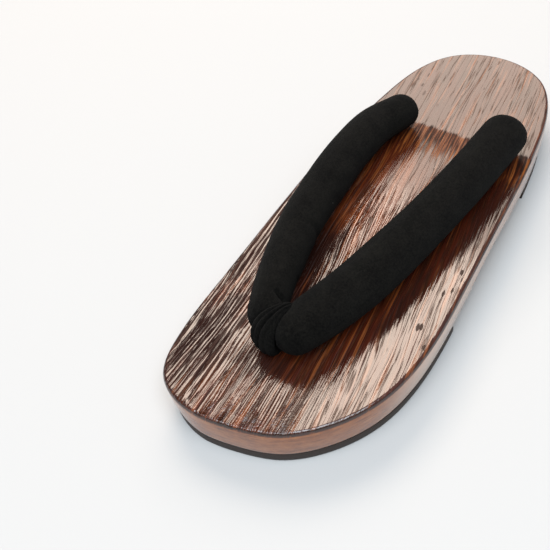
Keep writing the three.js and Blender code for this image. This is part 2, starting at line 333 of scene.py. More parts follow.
def ridges(n, across, y):
    """Hard rings left standing by the brush, closest near the heart and unevenly spaced."""
    uneven = n.streaks((across, 0.08), (y, 0.008), 0.0)
    from_heart = n.sub(across, RIDGE_HEART)
    grown = n.add(n.mul(n.absolute(from_heart), RIDGE_GROWTH / RIDGE_PITCH), 1.0)
    phase = n.mul(n.math("LOGARITHM", grown, math.e), 1 / RIDGE_GROWTH, n.math("SIGN", from_heart))
    phase = n.add(phase, n.swing(uneven, 6))
    wave = n.mul(n.absolute(n.sub(n.math("FRACT", phase), 0.5)), 2.0)
    return n.step(wave, 0.18, 0.6)


def bundles(n, across, y):
    """Broad bundles of fibres, and the long narrow splits between them, each 0 to 1."""
    coarse = n.streaks((across, 0.34), (y, 0.016), 0.0)
    split = n.streaks((across, 0.26), (y, 0.009), 4.0, detail=3, rough=0.6)
    return n.step(coarse, 0.3, 0.7), n.fall(n.absolute(n.sub(split, 0.5)), 0.004, 0.022)


def fibres(n, across, y, z):
    long = n.streaks((across, 1.0), (y, 0.022), (z, 0.3), rough=0.6)
    short = n.streaks((across, 0.8), (y, 0.10), (z, 0.3))
    return n.step(n.add(n.mul(long, 0.66), n.mul(short, 0.34)), 0.34, 0.66)


def relief_share(n, x, y):
    """Where the brushing went deep: most at the toe and the inner side, least at the heel."""
    outer = n.step(n.add(x, n.mul(n.add(y, 60.0), 0.12)), 6, 36)
    heel = n.step(y, 8, 60)
    calm = n.mul(n.step(y, -5, 25), n.fall(n.absolute(n.add(x, 10.0)), 8, 20))
    return n.sub(1.0, n.most(n.mul(outer, 0.80), n.mul(heel, 0.88), n.mul(calm, 0.8)))


class Grain:
    """Patterns of the brushed wood that its colour, relief and gloss share."""

    def __init__(self, n):
        self.x, self.y, self.z = x, y, z = object_mm(n)
        self.rim = n.sub(z, top_of(n, y))
        self.above = n.step(self.rim, -0.9, -0.25)
        self.across = across = grain_run(n, x, y, z)
        self.ridge = ridges(n, across, y)
        self.bundle, self.split = bundles(n, across, y)
        self.fibre = fibres(n, across, y, z)
        self.fine = n.streaks((across, 2.4), (y, 0.06), (z, 2.0), detail=3, rough=0.6)
        self.cloud = n.streaks((x, 0.055), (y, 0.028), (z, 0.05), detail=3, rough=0.6)
        self.patch = n.streaks((across, 0.15), (y, 0.035), 2.0, rough=0.55)
        self.share = relief_share(n, x, y)
        # How far a fibre stands up, from the brushed hollows to the hard rings
        self.stand = n.add(n.mul(self.ridge, 0.42), n.mul(self.fibre, 0.30), n.mul(self.fine, 0.28))


# Lacquered wood, with its colours as linear shares of red, green and blue

TOP_TONES = [
    (0.10, (0.0070, 0.0012, 0.0003)),
    (0.30, (0.0150, 0.0019, 0.0003)),
    (0.48, (0.0500, 0.0066, 0.0010)),
    (0.66, (0.1750, 0.0360, 0.0062)),
    (0.88, (0.4200, 0.1450, 0.0370)),
]
# Colours of the painted dark reflection across the band between the strap ends
REFLECTION_BAND_TONES = [(0.30, (0.010, 0.0022, 0.0007)), (0.52, (0.070, 0.014, 0.0027)), (0.8, (0.26, 0.080, 0.016))]
SIDE_TONES = [(0.30, (0.125, 0.033, 0.008)), (0.5, (0.260, 0.080, 0.020)), (0.72, (0.37, 0.140, 0.038))]
AMBER = (0.200, 0.054, 0.0110)
# Dark brown of the burnt spots, also used for painted shade and painted dark strap reflections
BURN_AND_SHADE_BROWN = (0.014, 0.0022, 0.0006)
PORE = (0.016, 0.004, 0.0015)
RIM_LINE = (0.014, 0.0035, 0.0015)
# Colour of the painted highlight on the outer side towards the toe
PAINTED_SIDE_HIGHLIGHT = (0.62, 0.43, 0.32)
DARK_FOOT = (0.020, 0.006, 0.003)
# Burnt spots and painted shade as x, y, half width, half length and depth: burn at the toe and along
# the inner edge, burn with a painted strap reflection in front of the loop, painted shade in the point of the
# V, and painted reflections of the dark straps beside both limbs and along the outer edge
BURN_AND_SHADE_SPOTS = [
    (-34, -90, 17, 40, 0.95),
    (-2, -95, 19, 12, 0.8),
    (-45, -30, 11, 62, 0.8),
    (-15, -34, 8, 30, 0.9),
    (-4, -56, 11, 20, 0.95),
    (32, -42, 7, 30, 0.65),
    (38, 22, 6, 36, 0.65),
    (10, -112, 9, 14, 0.3),
]


def top_colour(n, g):
    """Dark in the hollows and light on the rings, calmer where the brushing is shallow."""
    uneven = n.add(n.swing(g.cloud, 0.40), n.swing(g.patch, 0.45), 0.26)
    tone = n.add(n.mul(g.stand, 0.22), n.mul(g.bundle, 0.10), uneven)
    tone = n.blend(n.add(n.mul(g.share, 0.65), 0.35), 0.42, tone)
    tone = n.sub(tone, n.mul(g.split, 0.30))
    warmth = n.add(n.oval(g.x, g.y, (-10, 8), (22, 48)), n.swing(g.cloud, 0.8))
    return n.ramp(n.add(tone, n.mul(n.fall(warmth, 0.3, 1.1), 0.12)), TOP_TONES)


# Mask of the burnt spots, of the painted shade in the V and of the painted strap reflections beside the limbs
def burn_and_shade_spots(n, g):
    ragged = n.mul(n.sub(n.add(g.fibre, g.cloud), 1.0), 0.7)
    spots = []
    for x, y, half_width, half_length, depth in BURN_AND_SHADE_SPOTS:
        away = n.oval(g.x, g.y, (x, y), (half_width, half_length))
        spots.append(n.mul(n.fall(n.add(away, ragged), 0.3, 1.15), depth))
    return n.most(*spots)


def bare_hollows(n, g, burn_and_shade):
    """The lacquer is thick on the rings and missing in the brushed hollows and the splits; in the burnt spots
    and the painted shade it is missing in more of the hollows.
    """
    least = n.add(n.mul(g.share, 0.31), n.mul(burn_and_shade, 0.38))
    return n.most(n.fall(n.sub(g.stand, least), -0.08, 0.08), n.mul(g.split, 0.65))


def painted_reflection_band(n, g):
    """Band between the strap ends that takes a painted dark reflection, in darker colours and under thinner
    lacquer.
    """
    front = n.step(n.add(g.y, n.swing(g.fibre, 12)), 42, 53)
    back = n.fall(n.add(g.y, n.mul(g.fibre, 2)), 64.5, 66.5)
    return n.mul(front, back, n.step(g.rim, -2.0, -1.0))


def pores(n, g):
    """Short dark dashes beside the outer edge, and a few at the heel."""
    wavering = n.add(g.across, n.mul(g.fine, 1.2))
    distance, chance = n.voronoi(n.vec(n.mul(wavering, 0.27), n.mul(g.y, 0.12), 0.0))
    dash = n.fall(n.add(distance, n.swing(g.fibre, 0.12)), 0.19, 0.25)
    beside = n.mul(n.step(g.x, 35, 40), n.fall(n.absolute(n.add(g.y, 34.0)), 28, 38))
    outer = n.mul(beside, n.step(chance, 0.22, 0.24))
    heel = n.mul(n.step(g.y, 78, 84), n.step(chance, 0.86, 0.88), 0.6)
    return n.mul(dash, n.most(outer, heel), g.above)


def rim_line(n, g):
    """Dark broken line where the top turns into the side."""
    worn = n.add(g.rim, n.swing(n.noise(n.vec(g.x, g.y, 0.0), 0.35, 3, 0.6), 1.1))
    patchy = n.step(n.noise(n.vec(g.x, g.y, 3.0), 0.12, 3, 0.7), 0.3, 0.6, 0.45, 1.0)
    return n.mul(n.step(worn, -1.7, -1.2), n.fall(worn, -0.7, -0.35), patchy)


def side_wood(n, g):
    """Colour of the smooth and lighter side with its level streaks and a painted highlight on the outer side
    towards the toe, and its unevenness.
    """
    level = n.streaks((g.x, 0.09), (g.y, 0.09), (g.z, 1.1), detail=3, rough=0.6)
    mottle = n.streaks((g.x, 0.16), (g.y, 0.16), (g.z, 0.3), detail=3, rough=0.65)
    warm = n.ramp(n.add(n.mul(level, 0.45), n.mul(mottle, 0.55)), SIDE_TONES)
    # Painted highlight: the outer side towards the toe is painted paler
    side_highlight = n.mul(n.step(g.x, 34, 50), n.step(g.y, -95, -55))
    warm = n.mix(n.mul(side_highlight, 0.75), warm, PAINTED_SIDE_HIGHLIGHT)
    foot = n.fall(n.sub(g.z, RUBBER), 0.3, 1.6)
    return n.mix(n.mul(foot, 0.8), warm, DARK_FOOT), n.add(level, mottle)


def brushed_height(n, g, unevenness):
    """Height of the fine grain for the bump."""
    rings = n.mul(g.ridge, n.add(n.mul(g.fibre, 0.5), 0.5), 0.62)
    raised = n.add(rings, n.mul(g.fibre, 0.4), n.add(n.mul(g.fine, 0.1), n.mul(g.bundle, 0.6)))
    raised = n.mul(n.sub(raised, n.mul(g.split, 0.6)), n.mul(g.share, g.above))
    return n.add(raised, n.mul(unevenness, 0.09))


def lacquered_wood():
    material, n, shader = new_material("lacquered_cedar")
    g = Grain(n)
    burn_and_shade = burn_and_shade_spots(n, g)
    hollow = bare_hollows(n, g, burn_and_shade)
    reflection_band = painted_reflection_band(n, g)
    pore = pores(n, g)
    side, unevenness = side_wood(n, g)
    streak = n.streaks((g.across, 0.62), (g.y, 0.02), 7.0, detail=3, rough=0.6)
    amber = n.add(n.mul(n.step(streak, 0.52, 0.66), 0.65), n.mul(hollow, 0.22))
    reflection_band_colour = n.ramp(n.add(n.mul(g.fibre, 0.5), n.mul(g.fine, 0.5)), REFLECTION_BAND_TONES)
    colour = n.mix(n.mul(amber, n.sub(1.0, burn_and_shade)), top_colour(n, g), AMBER)
    # Darkens the burnt spots, and paints shade in the point of the V and dark strap reflections beside the
    # limbs
    colour = n.mix(n.mul(burn_and_shade, n.step(g.rim, -2.4, -0.9)), colour, BURN_AND_SHADE_BROWN)
    # Painted dark reflection across the band between the strap ends
    colour = n.mix(n.mul(reflection_band, 0.92), colour, reflection_band_colour)
    colour = n.mix(n.mul(pore, 0.9), colour, PORE)
    colour = n.mix(rim_line(n, g), colour, RIM_LINE)
    colour = n.mix(n.fall(g.rim, -2.6, -1.8), colour, side)
    n.feed(shader.inputs["Base Color"], colour)
    normal = n.bump(brushed_height(n, g, unevenness), 1.0, 0.14)
    n.feed(shader.inputs["Normal"], normal)
    n.feed(shader.inputs["Coat Normal"], normal)
    n.feed(shader.inputs["Roughness"], n.blend(g.fine, 0.5, 0.7))
    set_plain(shader, {"Specular IOR Level": 0.12, "Coat Roughness": 0.11, "Coat IOR": 1.65})
    bare = n.mul(n.most(n.mul(hollow, g.above), n.mul(pore, 0.92)), 0.96)
    # The lacquer is thin in the band of painted dark reflection, so the lamps' reflection is weak there
    band_thin_lacquer = n.mul(reflection_band, 0.95, n.step(n.add(g.fibre, g.fine), 0.7, 1.3, 1.0, 0.85))
    n.feed(shader.inputs["Coat Weight"], n.sub(1.0, n.most(bare, band_thin_lacquer)))
    return material


# Planed wood of the arch, rubber and cloth

ARCH_TONES = [
    (0.30, (0.26, 0.098, 0.026)),
    (0.40, (0.43, 0.21, 0.075)),
    (0.50, (0.55, 0.31, 0.13)),
    (0.68, (0.62, 0.39, 0.19)),
]
SCORCHED = (0.21, 0.062, 0.013)
TREAD_DARK = ((0.007, 0.0066, 0.006), (0.018, 0.013, 0.011))
RUBBER_GREY = ((0.020, 0.013, 0.011), (0.038, 0.026, 0.021))
CLOTH_TONES = [(0.41, (0.0003, 0.00028, 0.0002)), (0.59, (0.0056, 0.0052, 0.0043))]
LINT = (0.12, 0.11, 0.095)
WEAVE_PITCH = 0.55


def arch_wood():
    material, n, shader = new_material("planed_cedar")
    x, y, _ = object_mm(n)
    middle = ARCH_MIDDLE - HALF_LENGTH
    away = n.sub(y, middle)
    wander = n.streaks((x, 0.05), (y, 0.02), 0.0)
    lines = n.add(x, n.mul(away, away, 0.0022), n.swing(wander, 5))
    ring = n.streaks((lines, 0.30), (y, 0.004), 0.0, detail=4, rough=0.7)
    fine = n.streaks((lines, 2.2), (y, 0.05), 0.0, rough=0.6)
    cloud = n.streaks((x, 0.06), (y, 0.05), 1.0, detail=3, rough=0.6)
    colour = n.ramp(n.add(n.mul(ring, 0.7), n.mul(fine, 0.3)), ARCH_TONES)
    # Scorched streak across the middle and along the ends and edges
    streak = n.oval(x, y, (14, middle - 3), (34, 13))
    streak = n.fall(n.add(streak, n.mul(n.sub(n.add(ring, cloud), 1.0), 1.5)), 0.3, 1.2)
    ends = n.step(n.add(n.absolute(away), n.swing(cloud, 14)), 34, 46)
    edges = n.step(n.add(n.absolute(n.add(x, 4)), n.swing(cloud, 16)), 34, 50)
    scorch = n.most(n.mul(streak, 0.75), n.mul(ends, 0.6), n.mul(edges, 0.65))
    n.feed(shader.inputs["Base Color"], n.mix(scorch, colour, SCORCHED))
    n.feed(shader.inputs["Normal"], n.bump(n.add(ring, n.mul(fine, 0.6)), 0.5, 0.2))
    set_plain(shader, {"Roughness": 0.5, "Coat Weight": 0.35, "Coat Roughness": 0.25})
    return material


def sole_rubber():
    material, n, shader = new_material("sole_rubber")
    x, y, z = object_mm(n)
    fine = n.noise(n.vec(x, y, z), 2.2, 3, 0.6)
    cloud = n.noise(n.vec(x, y, z), 0.04, 3, 0.6)
    wall = n.step(z, 0.7, 1.6)
    n.feed(shader.inputs["Base Color"], n.mix(wall, n.mix(cloud, *TREAD_DARK), n.mix(fine, *RUBBER_GREY)))
    n.feed(shader.inputs["Normal"], n.bump(fine, 0.35, 0.2))
    set_plain(shader, {"Roughness": 0.62, "Specular IOR Level": 0.4})
    return material


def strap_cloth():
    material, n, shader = new_material("strap_cloth")
    x, y, z = object_mm(n)
    lay = n.new("ShaderNodeAttribute", attribute_name="lay").outputs["Vector"]
    u, v, _ = n.split(lay)
    warp, weft = (n.math("SINE", n.mul(thread, 2 * math.pi / WEAVE_PITCH)) for thread in (u, v))
    nap = n.noise(n.vec(x, y, z), 1.1, 4, 0.8)
    cloud = n.noise(n.vec(x, y, z), 0.12, 3, 0.6)
    colour = n.ramp(n.add(n.mul(nap, 0.7), n.mul(cloud, 0.3)), CLOTH_TONES)
    distance, chance = n.voronoi(n.vec(x, y, z), 0.11)
    speck = n.mul(n.fall(distance, 0.02, 0.05), n.step(chance, 0.72, 0.74), 0.4)
    n.feed(shader.inputs["Base Color"], n.mix(speck, colour, LINT))
    n.feed(shader.inputs["Normal"], n.bump(n.add(n.mul(warp, weft, 0.5), nap), 0.8, 0.22))
    plain = {"Roughness": 0.95, "Specular IOR Level": 0.10, "Sheen Weight": 0.008, "Sheen Roughness": 0.5}
    set_plain(shader, plain)
    return material


# Plan of the base


def hermite(a, b, slope_a, slope_b, gap, t):
    """Point of a smooth curve between two knots a gap apart, at a share t of the way."""
    value = a * (1 + 2 * t) * (1 - t) ** 2 + b * t * t * (3 - 2 * t)
    return value + gap * (slope_a * t * (1 - t) ** 2 + slope_b * t * t * (t - 1))


def spline_outline(per_chord=60):
    """The base's plan as a smooth closed curve, the same one that the solids follow."""
    knots = [TOE_TIP]
    knots += [(outer, along) for along, inner, outer in OUTLINE]
    knots += [HEEL_TIP]
    knots += [(inner, along) for along, inner, outer in reversed(OUTLINE)]
    points = np.array(knots, dtype=float)
    count = len(points)
    ahead = np.roll(points, -1, axis=0)
    gap = np.linalg.norm(ahead - points, axis=1)
    before = np.roll(gap, 1)
    system = np.zeros((count, count))
    pull = np.zeros((count, 2))
    for i in range(count):
        system[i, i] = 2 / before[i] + 2 / gap[i]
        system[i, (i - 1) % count] += 1 / before[i]
        system[i, (i + 1) % count] += 1 / gap[i]
        pull[i] = 3 * (points[i] - points[i - 1]) / before[i] ** 2
        pull[i] += 3 * (ahead[i] - points[i]) / gap[i] ** 2
    slopes = np.linalg.solve(system, pull)
    share = (np.arange(per_chord) / per_chord)[:, None]
    chords = []
    for i in range(count):
        j = (i + 1) % count
        chords.append(hermite(points[i], points[j], slopes[i], slopes[j], gap[i], share))
    return np.concatenate(chords)


class Plan:
    """Both long edges of the base, from toe tip to heel tip, sampled at given distances."""

    def __init__(self):
        curve = spline_outline()
        tangent = np.roll(curve, -1, axis=0) - np.roll(curve, 1, axis=0)
        tangent /= np.linalg.norm(tangent, axis=1)[:, None]
        toe = int(np.argmin(curve[:, 1]))
        heel = int(np.argmax(curve[:, 1]))
        count = len(curve)
        forward = [i % count for i in range(toe, toe + (heel - toe) % count + 1)]
        backward = [i % count for i in range(toe + count, heel, -1)]
        self.edges = {}
        for name, order in (("outer", forward), ("inner", backward)):
            self.edges[name] = (curve[order], tangent[order])
        self.low = curve[toe, 1]
        self.high = curve[heel, 1]

    def edge(self, name, along):
        """Points and outward normals of one edge at distances from the toe tip."""
        line, tangent = self.edges[name]
        order = np.argsort(line[:, 1], kind="stable")
        s = line[order, 1]
        points = np.stack([np.interp(along, s, line[order, k]) for k in (0, 1)], axis=1)
        facing = np.stack([np.interp(along, s, tangent[order, k]) for k in (0, 1)], axis=1)
        facing /= np.linalg.norm(facing, axis=1)[:, None]
        return points, np.stack([facing[:, 1], -facing[:, 0]], axis=1)

    def across(self, name, along):
        return self.edge(name, np.atleast_1d(along))[0][:, 0]


PLAN = Plan()


def nearest(along, place):
    return int(np.argmin(np.abs(along - place)))


def row_places(count, extra):
    """Distances from the toe tip, closer together at both tips, with given ones hit exactly."""
    t = np.linspace(0, 1, count + 1)
    along = PLAN.low + (PLAN.high - PLAN.low) * (0.5 - 0.5 * np.cos(math.pi * t))
    for place in extra:
        along[nearest(along, place)] = place
    return along


def top_height(along):
    return TOE_HEIGHT + (HEEL_HEIGHT - TOE_HEIGHT) * along / LENGTH


def inset_edge(name, along, inset, end_share):
    """One edge moved inwards, by a smaller share of the inset where it faces the tips."""
    points, facing = PLAN.edge(name, along)
    own = inset * (end_share + (1 - end_share) * np.abs(facing[:, 0]))
    return points - facing * own[:, None]


class Shell:
    """Closed body built from rings round the plan and sheets across it."""

    def __init__(self, along):
        self.along = along
        self.count = len(along) - 1
        self.toe = abs(along[0] - PLAN.low) < 1e-6
        self.heel = abs(along[-1] - PLAN.high) < 1e-6
        self.verts = []
        self.faces = []
        self.kinds = []

    def point(self, x, along, z):
        self.verts.append((x * MM, (along - HALF_LENGTH) * MM, z * MM))
        return len(self.verts) - 1

    def face(self, corners, kind):
        clean = []
        for c in corners:
            if not clean or clean[-1] != c:
                clean.append(c)
        if clean[0] == clean[-1]:
            clean.pop()
        if len(clean) > 2:
            self.faces.append(clean)
            self.kinds.append(kind)

    def ring(self, inset, height, end_share=1.0):
        """inset is a number or a function of (along, side), height a function of (x, along)."""
        made = {}
        for name in ("outer", "inner"):
            own = inset(self.along, name) if callable(inset) else inset
            place = inset_edge(name, self.along, own, end_share)
            z = height(place[:, 0], place[:, 1])
            made[name] = [self.point(p[0], p[1], h) for p, h in zip(place, z)]
        if self.toe:
            made["inner"][0] = made["outer"][0]
        if self.heel:
            made["inner"][-1] = made["outer"][-1]
        return made

    def wall(self, rings):
        for upper, lower in zip(rings[:-1], rings[1:]):
            for j in range(self.count):
                u, l = upper["outer"], lower["outer"]
                self.face([l[j], l[j + 1], u[j + 1], u[j]], 0)
                u, l = upper["inner"], lower["inner"]
                self.face([l[j + 1], l[j], u[j], u[j + 1]], 0)

    def sheet(self, ring, shares, height, up, second_kind=range(0)):
        """Rows of faces across a ring; those of second_kind take the second material."""
        rows = []
        for j in range(self.count + 1):
            left, right = ring["inner"][j], ring["outer"][j]
            if left == right:
                rows.append([left] * (len(shares) + 2))
                continue
            a, b = np.array(self.verts[left]) / MM, np.array(self.verts[right]) / MM
            row = [left]
            for share in shares:
                spot = a + (b - a) * share
                along = spot[1] + HALF_LENGTH
                row.append(self.point(spot[0], along, height(spot[0], along)))
            row.append(right)
            rows.append(row)
        for j in range(self.count):
            for c in range(len(shares) + 1):
                corners = [rows[j][c], rows[j][c + 1], rows[j + 1][c + 1], rows[j + 1][c]]
                self.face(corners if up else corners[::-1], int(j in second_kind))
        return rows

    def end(self, rings, top_row, low_row, facing):
        """Flat end wall of a piece that is cut straight across."""
        j = 0 if facing < 0 else self.count
        loop = list(low_row)
        loop += [r["outer"][j] for r in reversed(rings[1:-1])]
        loop += list(reversed(top_row))
        loop += [r["inner"][j] for r in rings[1:-1]]
        self.face(loop if facing < 0 else loop[::-1], 0)

    def piece(self, name, *materials):
        data = bpy.data.meshes.new(name)
        data.from_pydata(self.verts, [], self.faces)
        for material in materials:
            data.materials.append(material)
        data.polygons.foreach_set("material_index", self.kinds)
        data.update()
        return show(name, data)


def inner_shares(columns):
    return np.linspace(0, 1, columns + 1)[1:-1]


# Helpers for meshes and pieces


def show(name, data):
    piece = bpy.data.objects.new(name, data)
    bpy.context.scene.collection.objects.link(piece)
    return piece


def from_lists(name, verts, faces, material):
    data = bpy.data.meshes.new(name)
    data.from_pydata(verts, [], faces)
    data.materials.append(material)
    work = bmesh.new()
    work.from_mesh(data)
    bmesh.ops.recalc_face_normals(work, faces=work.faces)
    work.to_mesh(data)
    work.free()
    return show(name, data)


def read_rows(data, what):
    """The places or the normals of all vertices, three values to a row."""
    rows = np.empty(len(data.vertices) * 3)
    data.vertices.foreach_get(what, rows)
    return rows.reshape(-1, 3)


def write_places(data, places):
    data.vertices.foreach_set("co", places.ravel())
    data.update()


def evaluated_mesh(piece):
    view = bpy.context.evaluated_depsgraph_get()
    return bpy.data.meshes.new_from_object(piece.evaluated_get(view))


def settle(piece):
    """The piece as its modifiers shape it, as a plain mesh."""
    data = evaluated_mesh(piece)
    piece.modifiers.clear()
    old = piece.data
    piece.data = data
    data.name = piece.name
    bpy.data.meshes.remove(old)


def shape_with(piece, name, tree, known, sizes):
    """Runs a geometry tree over a piece, its sizes given in millimetres."""
    maker = piece.modifiers.new(name, "NODES")
    maker.node_group = tree
    for size, value in sizes.items():
        maker[known[size]] = value * MM
    settle(piece)


def smooth(piece, angle=None):
    piece.data.polygons.foreach_set("use_smooth", [True] * len(piece.data.polygons))
    if angle is not None:
        piece.data.set_sharp_from_angle(angle=math.radians(angle))
    piece.data.update()


def join_into(piece, other):
    work = bmesh.new()
    work.from_mesh(piece.data)
    work.from_mesh(other.data)
    work.to_mesh(piece.data)
    work.free()
    bpy.data.objects.remove(other)


def add_cords(piece, cords, segments):
    """The short cords under a piece of cloth, going down into the wood."""
    work = bmesh.new()
    work.from_mesh(piece.data)
    for across, along, radius, rise in cords:
        low = top_height(along) - CORD_DEPTH
        high = top_height(along) + rise
        middle = Vector((across * MM, (along - HALF_LENGTH) * MM, (low + high) / 2 * MM))
        bmesh.ops.create_cone(
            work,
            cap_ends=True,
            segments=segments,
            radius1=radius * MM,
            radius2=radius * MM,
            depth=(high - low) * MM,
            matrix=Matrix.Translation(middle),
        )
    work.to_mesh(piece.data)
    work.free()


def finish_piece(piece, slot_name, *nodes):
    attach(piece, "root")
    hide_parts(*nodes)


# Base

BASE_ROWS = 236
BASE_COLUMNS = 244
UNDER_EDGE = [0.006, 0.02, 0.04, 0.06, 0.08]
UNDER_SHARES = UNDER_EDGE + list(np.linspace(0.1, 0.9, 21)) + [1 - s for s in reversed(UNDER_EDGE)]
BEVEL_OUTER = float(PLAN.across("outer", ARCH_MIDDLE)[0]) - BEVEL_START
BEVEL_INNER = -float(PLAN.across("inner", ARCH_MIDDLE)[0]) - BEVEL_START
VALLEY_DEPTH = 0.45
BASE_SHARP = 32


def arch_height(x, along):
    """Underside of the wood: flat over the pads, scooped between them, bevelled at the edges."""
    half = (HEEL_PAD_START - FOREFOOT_PAD_END) / 2
    radius = (half**2 + ARCH_RISE**2) / (2 * ARCH_RISE)
    away = np.clip(np.abs(along - ARCH_MIDDLE), 0, half)
    scoop = RUBBER + ARCH_RISE - radius + np.sqrt(radius**2 - away**2)
    across = np.asarray(x, dtype=float)
    reach = np.where(across > 0, across - (BEVEL_OUTER - BEVEL_REACH), -across - (BEVEL_INNER - BEVEL_REACH))
    drop = BEVEL_RADIUS - np.sqrt(BEVEL_RADIUS**2 - away**2)
    cut = RUBBER + ARCH_RISE + reach * math.tan(BEVEL_TILT) - drop
    return np.where(reach > 0, np.maximum(scoop, cut), scoop)


def edge_underside(along, side):
    return arch_height(PLAN.across(side, along), along)


def wall_inset(along, z):
    """How far the wall leans in at a height: nothing near the top, most at the floor."""
    share = (z - RUBBER) / (top_height(along) - RUBBER)
    return WALL_DRAFT * np.clip(1 - share / DRAFT_START, 0, 1) ** DRAFT_CURVE


def wall_ring(shell, share):
    """Ring of the wall at a share of the way up from the underside to the top."""

    def rise(low, along):
        return low + (top_height(along) - low) * share

    def inset(along, side):
        return wall_inset(along, rise(edge_underside(along, side), along))

    return shell.ring(inset, lambda x, along: rise(arch_height(x, along), along), END_DRAFT)


def foot_ring(shell, lift, extra):
    """Ring of the wall's rounded lower edge."""

    def inset(along, side):
        return wall_inset(along, edge_underside(along, side)) + extra

    return shell.ring(inset, lambda x, along: arch_height(x, along) + lift, END_DRAFT)


def relief_tree(material):
    """Lowers the brushed valleys of the walking surface."""
    tree, n, given, known = geometry_tree("Brushed grain", ["Valley depth"])
    x, y, z = n.in_mm(n.new("GeometryNodeInputPosition").outputs[0])
    bundle, split = bundles(n, grain_run(n, x, y, z), y)
    above = n.step(n.sub(z, top_of(n, y)), -1.7, -0.25)
    hollow = n.add(n.mul(n.sub(1.0, bundle), 0.55), n.mul(split, 0.45))
    amount = n.mul(hollow, relief_share(n, x, y), above)
    move = n.new("GeometryNodeSetPosition")
    n.feed(move.inputs["Geometry"], given["Geometry"])
    n.feed(move.inputs["Offset"], n.vec(0.0, 0.0, n.mul(amount, n.mul(given["Valley depth"], -1.0))))
    first = n.math("LESS_THAN", n.new("GeometryNodeInputMaterialIndex").outputs[0], 0.5)
    end_tree(n, move.outputs[0], material, first)
    return tree, known


def make_base(wood, planed):
    along = row_places(BASE_ROWS, (FOREFOOT_PAD_END, HEEL_PAD_START, ARCH_MIDDLE))
    shell = Shell(along)
    rings = [
        shell.ring(inset, lambda x, along, drop=drop: top_height(along) - drop) for drop, inset in TOP_EDGE
    ]
    rings += [wall_ring(shell, share) for share in WALL_SHARES]
    rings += [foot_ring(shell, lift, extra) for lift, extra in FOOT_EDGE]
    shell.wall(rings)
    shell.sheet(rings[0], inner_shares(BASE_COLUMNS), lambda x, along: top_height(along), True)
    arch = range(nearest(along, FOREFOOT_PAD_END), nearest(along, HEEL_PAD_START))
    shell.sheet(rings[-1], UNDER_SHARES, lambda x, along: float(arch_height(x, along)), False, arch)
    piece = shell.piece("base_dressed", wood, planed)
    shape_with(piece, "Brushed grain", *relief_tree(wood), {"Valley depth": VALLEY_DEPTH})
    smooth(piece, BASE_SHARP)
    finish_piece(piece, "lacquered_wood", "base")


# Rubber pads, with low four-sided studs in slanting rows

STUD_HEIGHT = 0.32
STUDS = {"Row pitch": 1.9, "Stud width": 1.35, "Stud height": STUD_HEIGHT, "Edge margin": 1.3}
STUD_SINK = 1.1
STUD_TAPER = 0.5
STUDS_BELOW = 1.0
STUD_RAY = 1.8
TREAD_REACH = 170.0
TREAD_SLANT = 33
PAD_ROWS = 150
PAD_COLUMNS = 24
PAD_WEAR = 0.35
PAD_WORN_ANGLE = 50
PAD_SHARP = 35
# height, inset from the widest outline
PAD_WALL = [(PAD_TOP, 2.7), (3.6, 2.62), (2.2, 2.68), (1.1, 2.82), (0.62, 2.98), (STUD_HEIGHT, 3.35)]


